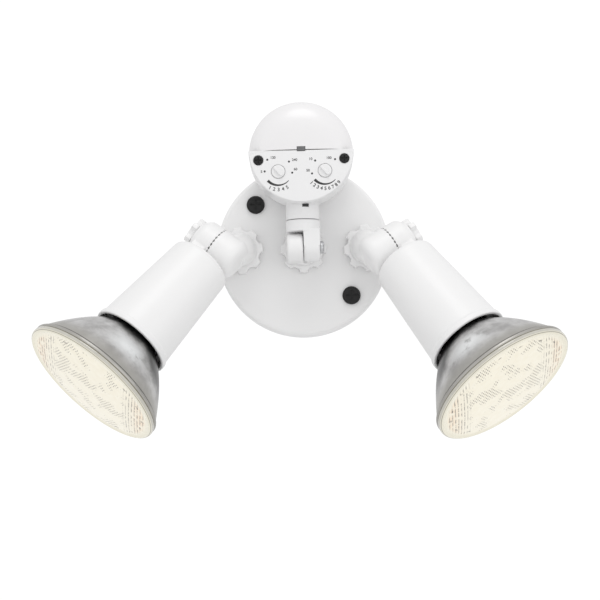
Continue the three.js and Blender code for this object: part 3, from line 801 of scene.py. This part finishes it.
def lamp_lens(side, lamp):
    """Lamp face: a low dome with a plain rim bead, over a hollow back."""
    face = LAMP_RIM + 0.15
    x = np.linspace(0, 1, 16)[1:]
    edge = LAMP_R - 4.6
    dome = np.column_stack([edge * x[::-1], LAMP_CROWN - 3.4 * x[::-1] ** 2])
    rim = rounded([(LAMP_R - 4, face), (LAMP_R, face), (LAMP_R, face + 2.6), (LAMP_R - 2.4, face + 3.7),
                   (edge, LAMP_CROWN - 3.4)], [0.6, 1.4, 1.0], 6)
    back = [(0, LAMP_CROWN - 3.4), (30, LAMP_CROWN - 4.2), (LAMP_R - 7, face + 0.6)]
    profile = np.vstack([back, rim, dome[1:], [(0, LAMP_CROWN)]])
    lens = spun(f"lamp_face_{side}", lamp, profile, 224, sharp=50)
    points = local(lens, lamp)
    add_uv(lens, points[:, :2] / LAMP_R)
    fit(lens, "lamp_glass", f"lamp_{side}", f"lens_{side}")


def stem():
    """Sensor elbow with its cheek, the arm with the other cheek, and the screw through both."""
    cheek = rod(HINGE, CHEEK_R, -13.5, -0.25, 96, 2.6)
    block_low, block_high = (-13.3, NECK_Y, HINGE_Z - CHEEK_R), (-0.25, -31.5, HINGE_Z + CHEEK_R - 1)
    collar = rod(WALL, COLLAR_R, COLLAR_W, COLLAR_W + 4.6, 96, 0.8)
    skin = casting("sensor_elbow_body", [cheek, box(LEVEL, block_low, block_high), collar], 0.4, 9)
    fit(skin, "white_paint", "sensor_elbow", "sensor_elbow")
    pipe = threaded("nipple_sensor", WALL, NIPPLE_R, 6.5, 9.1, COLLAR_W + 0.5)
    fit(pipe, "white_paint", "sensor_elbow", "sensor_elbow")

    shoulder = HINGE_Z + CHEEK_R + 1.3
    lug = rod(HINGE, CHEEK_R, 0.25, 13.6, 96, 2.6)
    rise = box(LEVEL, (0.25, NECK_Y - CHEEK_R, HINGE_Z), (13.6, NECK_Y + CHEEK_R, shoulder + 2))
    tube = oval("tube", 14, 12.3, shoulder, SWIVEL_Z - 0.2, 0.5)
    skin = casting("sensor_arm_body", [lug, rise, tube], 0.4, 8)
    fit(skin, "white_plastic", "sensor_arm", "sensor_arm")
    bearing = rod(LEVEL.shifted(v=NECK_Y), ARM_BORE - 0.3, SWIVEL_Z - 4, SWIVEL_Z + 5.3, 64)
    bearing.name = "arm_bearing"
    fit(bearing, "white_plastic", "sensor_arm", "sensor_arm")

    screw = spun("hinge_screw_turned", HINGE, rounded(
        [(0, -11), (2.6, -11), (2.6, 13.9), (5.2, 13.9), (5.2, 16.4), (3.4, 17.1), (0, 17.1)],
        [0.6, 0.2, 0.3, 0.9, 0.6], 5), 64)
    combined(screw, [box(HINGE, (-6, -0.7, 16), (6, 0.7, 18))], "DIFFERENCE")
    fit(screw, "steel", "hinge_screw", "hinge_screw")


def oval(name, half_x, half_y, low, high, edge):
    """An upright oval bar about the sensor's neck: a rounded profile scaled to two half widths."""
    place = Place([0, NECK_Y, 0], [half_x, 0, 0], [0, half_y, 0], [0, 0, 1])
    return spun(name, place, rounded([(0, low), (1, low), (1, high), (0, high)], [0.04, edge / 14], 4), 96)


def head_profile(radius, half, power=3.2, count=40):
    """Outline of the lens from back to front: r = R (1 - |t|^2.4)^(1/power), height = half t,
    with t following a cosine so that its points gather at the ends."""
    t = -np.cos(np.linspace(0, math.pi, count))
    return np.column_stack([radius * (1 - np.abs(t) ** 2.4) ** (1 / power), half * t])


def plate_outline(radius, corner=3.2):
    """Outline of the dial plate: the lower half circle, then the straight seam with its
    corners drooping into the circle."""
    arc_angle = np.linspace(math.pi, TAU, 97)
    ring = np.column_stack([radius * np.cos(arc_angle), radius * np.sin(arc_angle)])
    across = np.linspace(radius - 0.4, -(radius - 0.4), 97)[1:-1]
    droop = np.clip((np.abs(across) - 23) / (radius - 23), 0, 1) ** 1.6 * corner
    return np.vstack([ring[ring[:, 1] < -corner], np.column_stack([across, -0.35 - droop])])


def window_notch():
    """The cut for the indicator window, across the seam."""
    return box(WALL, (-3.5, HEAD_Z - 1.2, PLATE_W - 3.2), (3.5, HEAD_Z + 2.8, PLATE_W + 3))


def sensor_shells():
    """The lens over the seam, and under it the housing shell with its collar and neck slot."""
    upper = Place([0, HEAD_Y, HEAD_Z + 0.45], [1, 0, 0], [0, 0, 1], [0, -1, 0])
    lower = Place([0, HEAD_Y, HEAD_Z + 0.1], [1, 0, 0], [0, 0, -1], [0, -1, 0])
    lens = half_spun("sensor_lens_dome", upper, head_profile(HEAD_R, HEAD_HALF),
                     head_profile(HEAD_R - 2, HEAD_HALF - 2))
    combined(lens, [window_notch()], "DIFFERENCE")
    fit(lens, "sensor_lens_plastic", "sensor_head", "sensor_lens")

    outer = rounded([(0.01, -HEAD_HALF), (HEAD_R, -HEAD_HALF), (HEAD_R, 19.7), (0.01, 19.7)],
                    [13, 1.0], 16)
    back = 2 - HEAD_HALF
    inner = rounded([(0.01, back), (HEAD_R - 2, back), (HEAD_R - 2, 17.5), (0.01, 17.5)],
                    [11, 0.8], 16)
    shell = half_spun("sensor_housing_shell", lower, outer, inner)
    collar = oval("collar", 13.8, 13.4, SWIVEL_Z + 0.2, 38, 0.5)
    combined(shell, [collar], "UNION")
    bore = rod(LEVEL.shifted(v=NECK_Y), ARM_BORE, SWIVEL_Z - 2, 27, 64)
    slot = box(LEVEL, (-0.2, -64, 30.6), (5.2, NECK_Y - 10.5, 33))
    combined(shell, [bore, slot], "DIFFERENCE")
    fit(shell, "white_plastic", "sensor_head", "sensor_housing")
    well = box(LEVEL, (-0.1, -60.6, 30.7), (5.1, -57.6, 32.9))
    well.name = "neck_slot_back"
    fit(well, "black_plastic", "sensor_head", "sensor_housing")


def dial_plate():
    """The plate with its holes, the indicator pane in its notch, and the two plate screws."""
    dial_places = [WALL.shifted(u=s * DIAL_X, v=DIAL_Z) for s in (-1, 1)]
    screw_places = [WALL.shifted(u=s * SCREW_X, v=SCREW_Z) for s in (-1, 1)]
    plate_place = WALL.shifted(v=HEAD_Z)
    plate = slab("dial_plate_face", plate_place, plate_outline(HEAD_R - 0.5), PLATE_W - 1.5, PLATE_W, 0.5)
    cuts = [rod(place, DIAL_R + 0.55, PLATE_W - 1.1, PLATE_W + 2, 72, 0) for place in dial_places]
    cuts += [rod(place, SCREW_R + 0.35, PLATE_W - 0.8, PLATE_W + 2, 48, 0) for place in screw_places]
    combined(plate, cuts + [window_notch()], "DIFFERENCE")
    fit(plate, "white_plastic", "sensor_head", "dial_plate")

    corners = [(-3.2, -0.8), (3.2, -0.8), (3.2, 2.5), (-3.2, 2.5)]
    outline = rounded(corners + corners[:1], [0.5] * 3, 4)[:-1]
    window = slab("indicator_pane", plate_place, outline, PLATE_W - 3, PLATE_W + 0.5, 0.3)
    fit(window, "grey_plastic", "sensor_head", "indicator_window")
    for name, place in zip(("left", "right"), screw_places):
        screw = cross_screw(f"plate_screw_head_{name}", place, SCREW_R, PLATE_W - 0.5, PLATE_W + 1.3,
                            1.5, PLATE_W - 9, 2.5)
        fit(screw, "black_screw", "sensor_head", f"plate_screw_{name}")


def dials():
    """Two dials sunk in the plate, each with a raised pointer bar across its face, whose
    outline is x = a cos^0.35, y = b sin^0.6 of the angle."""
    for name, s in (("time", -1), ("range", 1)):
        place = WALL.shifted(u=s * DIAL_X, v=DIAL_Z)
        button = spun(f"dial_button_{name}", place, rounded(
            [(0, PLATE_W - 4), (2, PLATE_W - 4), (2, PLATE_W - 0.9), (DIAL_R, PLATE_W - 0.9),
             (DIAL_R, PLATE_W + 0.8), (0, PLATE_W + 0.8)], [0.3, 0.1, 0.2, 0.7], 6), 96)
        fit(button, "white_plastic", f"dial_{name}", f"dial_{name}")
        c, q = math.cos(DIAL_TURN), math.sin(DIAL_TURN)
        bar_place = Place(place.origin, [c, 0, q], [-q, 0, c], [0, -1, 0])
        a = np.linspace(0, TAU, 64, endpoint=False)
        outline = np.column_stack([4.9 * np.sign(np.cos(a)) * np.abs(np.cos(a)) ** 0.35,
                                   1.3 * np.sign(np.sin(a)) * np.abs(np.sin(a)) ** 0.6])
        bar = slab(f"dial_bar_{name}", bar_place, outline, PLATE_W + 0.3, PLATE_W + 2.9, 0.5)
        fit(bar, "white_plastic", f"dial_{name}", f"dial_{name}")


def print_piece(name, parts):
    """Joins printed marks into one thin piece on the dial plate."""
    fit(joined(name, parts), "black_plastic", "sensor_head", finish="dial_print")


def wedge(place, radius, start, end, thick, thin):
    """A printed arc that tapers from thick to thin, degrees from u towards v."""
    count = 40
    a = np.radians(np.linspace(start, end, count))[:, None]
    half = np.linspace(thick, thin, count)[:, None] / 2
    r = radius + half * [1, -1, -1, 1]
    h = PLATE_W + PRINT_H * np.array([0, 0, 1, 1]) + 0 * a
    points = np.stack([r * np.cos(a), r * np.sin(a), h], axis=-1).reshape(-1, 3)
    last = 4 * (count - 1)
    faces = grid_faces(count, 4, False, True) + [[0, 1, 2, 3], [last + i for i in range(4)]]
    return finish_mesh("wedge", place(points), faces)


def numeral(text, place, u, v, size, turn):
    """A small printed numeral, centred on (u, v) and turned by an angle in degrees."""
    curve = bpy.data.curves.new("numeral", "FONT")
    curve.body = text
    curve.size = size
    curve.align_x = curve.align_y = "CENTER"
    curve.extrude = PRINT_H / 2
    curve.offset = 0.02 * size
    maker = bpy.data.objects.new("numeral", curve)
    bpy.context.scene.collection.objects.link(maker)
    mesh = bpy.data.meshes.new_from_object(maker.evaluated_get(bpy.context.evaluated_depsgraph_get()))
    bpy.data.objects.remove(maker)
    flat = np.empty(len(mesh.vertices) * 3)
    mesh.vertices.foreach_get("co", flat)
    flat = flat.reshape(-1, 3)
    c, s = math.cos(math.radians(turn)), math.sin(math.radians(turn))
    drawn = np.column_stack([u + c * flat[:, 0] - s * flat[:, 1], v + s * flat[:, 0] + c * flat[:, 1],
                             PLATE_W + PRINT_H / 2 + flat[:, 2]])
    faces = [list(p.vertices) for p in mesh.polygons]
    bpy.data.meshes.remove(mesh)
    return finish_mesh("numeral", place(drawn), faces)


def dial_marks():
    """Printed marks round each dial: spots with labels (the spot's angle and radius, and the
    label's offset from it), a tapering arc below, and a curved row of numerals."""
    spots = {-1: [(131, 13.2, 4.6, 1.6, "120"), (42, 12.0, 4.6, 1.3, "240"),
                  (-6, 11.4, 2.8, 2.8, "60"), (178, 11.0, -2.6, -0.2, "5")],
             1: [(133, 11.4, -3.6, 1.4, "10"), (47, 12.4, -5.0, 1.2, "100"),
                 (192, 10.8, -3.2, 2.6, "50")]}
    rows = {-1: "12345", 1: "123456789"}
    for s, name in ((-1, "time"), (1, "range")):
        place = WALL.shifted(u=s * DIAL_X, v=DIAL_Z)
        parts = [wedge(place, 11.2, 220, 318, 2.3, 0.5)]
        for degrees, radius, right, up, label in spots[s]:
            u, v = radius * math.cos(math.radians(degrees)), radius * math.sin(math.radians(degrees))
            parts.append(rod(place.shifted(u=u, v=v), 0.85, PLATE_W, PLATE_W + PRINT_H, 20, 0))
            parts.append(numeral(label, place, u + right, v + up, 2.9, 0))
        text = rows[s]
        spread = 3.1 if s > 0 else 3.6
        for k, character in enumerate(text):
            angle = math.radians(270) + (k - (len(text) - 1) / 2) * spread / 14.6
            parts.append(numeral(character, place, 14.9 * math.cos(angle), 14.9 * math.sin(angle), 4.0,
                                 math.degrees(angle) + 90))
        print_piece(f"dial_marks_{name}", parts)


# ---- stage ----
def stage():
    """A pale floor well below the object."""
    span = np.linspace(-3.0, 3.0, 3)
    x, y = np.meshgrid(span, span, indexing="ij")
    points = np.stack([x, y, 0 * x + FLOOR_Z], axis=-1).reshape(-1, 3)
    floor = finish_mesh("floor", points, grid_faces(3, 3, False, False))
    s = Shader("floor_paint", Roughness=0.9)
    s.feed("Base Color", s.mix(s.noise(s.place(), 2.0), rgb(0.86), rgb(0.88)))
    floor.data.materials.append(s.material)


def area_light(name, at, size, power, colour=(1, 1, 1)):
    """A round soft light at a place in metres, aimed at the object."""
    data = bpy.data.lights.new(name, "AREA")
    data.shape = "DISK"
    data.size = size
    data.energy = power
    data.color = colour
    light = bpy.data.objects.new(name, data)
    light.location = at
    light.rotation_euler = (Vector((0, -0.05, 0)) - Vector(at)).to_track_quat("-Z", "Y").to_euler()
    bpy.context.scene.collection.objects.link(light)


def lights():
    """Soft overhead key, side and front fills, and a white surround dimmer for light than to see."""
    area_light("key", (0.05, -0.9, 1.5), 0.9, 5.6, (1.0, 0.99, 0.98))
    area_light("left_fill", (-1.6, -1.2, 0.3), 1.2, 1.2)
    area_light("right_fill", (1.5, -1.3, 0.2), 1.2, 2.2)
    area_light("front_fill", (0.5, -2.0, -0.3), 1.5, 3.0)
    world = bpy.data.worlds.new("surround")
    world.use_nodes = True
    bpy.context.scene.world = world
    nodes, links = world.node_tree.nodes, world.node_tree.links
    nodes.clear()
    path = nodes.new("ShaderNodeLightPath")
    dim, bright = nodes.new("ShaderNodeBackground"), nodes.new("ShaderNodeBackground")
    dim.inputs["Color"].default_value = (0.995, 0.995, 1.0, 1)
    dim.inputs["Strength"].default_value = 0.82
    bright.inputs["Color"].default_value = (1, 1, 1, 1)
    bright.inputs["Strength"].default_value = 1.05
    blend = nodes.new("ShaderNodeMixShader")
    out = nodes.new("ShaderNodeOutputWorld")
    links.new(path.outputs["Is Camera Ray"], blend.inputs[0])
    links.new(dim.outputs[0], blend.inputs[1])
    links.new(bright.outputs[0], blend.inputs[2])
    links.new(blend.outputs[0], out.inputs[0])


def camera():
    """A long lens from the front, a little below the object."""
    distance, elevation, roll = 1.3, math.radians(-5.5), math.radians(-1.45)
    target = Vector((-0.00395, -0.02, -0.042))
    data = bpy.data.cameras.new("camera")
    data.sensor_width = 36
    data.lens = 2.585 * data.sensor_width
    data.clip_start = 0.05
    eye = bpy.data.objects.new("camera", data)
    back = Vector((0, -math.cos(elevation), math.sin(elevation)))
    eye.location = target + back * distance
    aim = (-back).to_track_quat("-Z", "Y") @ Quaternion((0, 0, 1), roll)
    eye.rotation_euler = aim.to_euler()
    bpy.context.scene.collection.objects.link(eye)
    bpy.context.scene.camera = eye
    bpy.context.scene.view_settings.view_transform = "Standard"


camera()
canopy()
cover_screws()
for side_name in ("left", "right"):
    swing_place, lamp_place = lamp_places(side_name)
    locknut(f"locknut_{side_name}", f"locknut_{side_name}", swing_place.origin[0], 0.1)
    elbow(side_name, swing_place, lamp_place)
    lampholder(side_name, lamp_place)
    clamp_knob(side_name, lamp_place)
    reflector(side_name, lamp_place)
    lamp_lens(side_name, lamp_place)
locknut("locknut_sensor", "locknut_sensor", 0.0)
stem()
sensor_shells()
dial_plate()
dials()
dial_marks()
carried_nodes()
stage()
lights()

bpy.context.view_layer.update()
